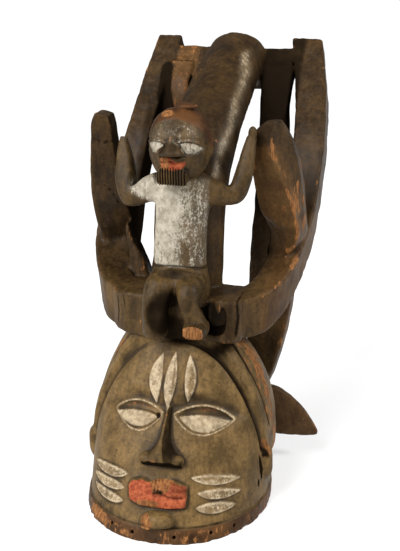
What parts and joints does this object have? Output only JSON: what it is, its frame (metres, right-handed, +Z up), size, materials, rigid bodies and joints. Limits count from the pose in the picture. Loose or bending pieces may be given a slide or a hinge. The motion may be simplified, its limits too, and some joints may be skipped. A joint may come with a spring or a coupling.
{
  "type": "gelede helmet mask",
  "caption": "Carved wooden helmet mask: a hollow stylised head open below, with a tall openwork crest of bars, leaf blades and an arching tongue behind a seated bearded figure.",
  "frame": {"origin": "middle of the bounding box's underside, on the surface that the helmet's rim rests on", "axes": "+Z up, -Y the way the face looks, +X towards the right of someone looking at the face"},
  "size_m": [0.2662, 0.3824, 0.4761],
  "materials": {
    "carved_wood": "dark brown patinated wood, worn orange-brown on its edges, with kaolin white and red in places"
  },
  "bodies": {
    "root": {"mask": "carved_wood"}
  },
  "joints": []
}
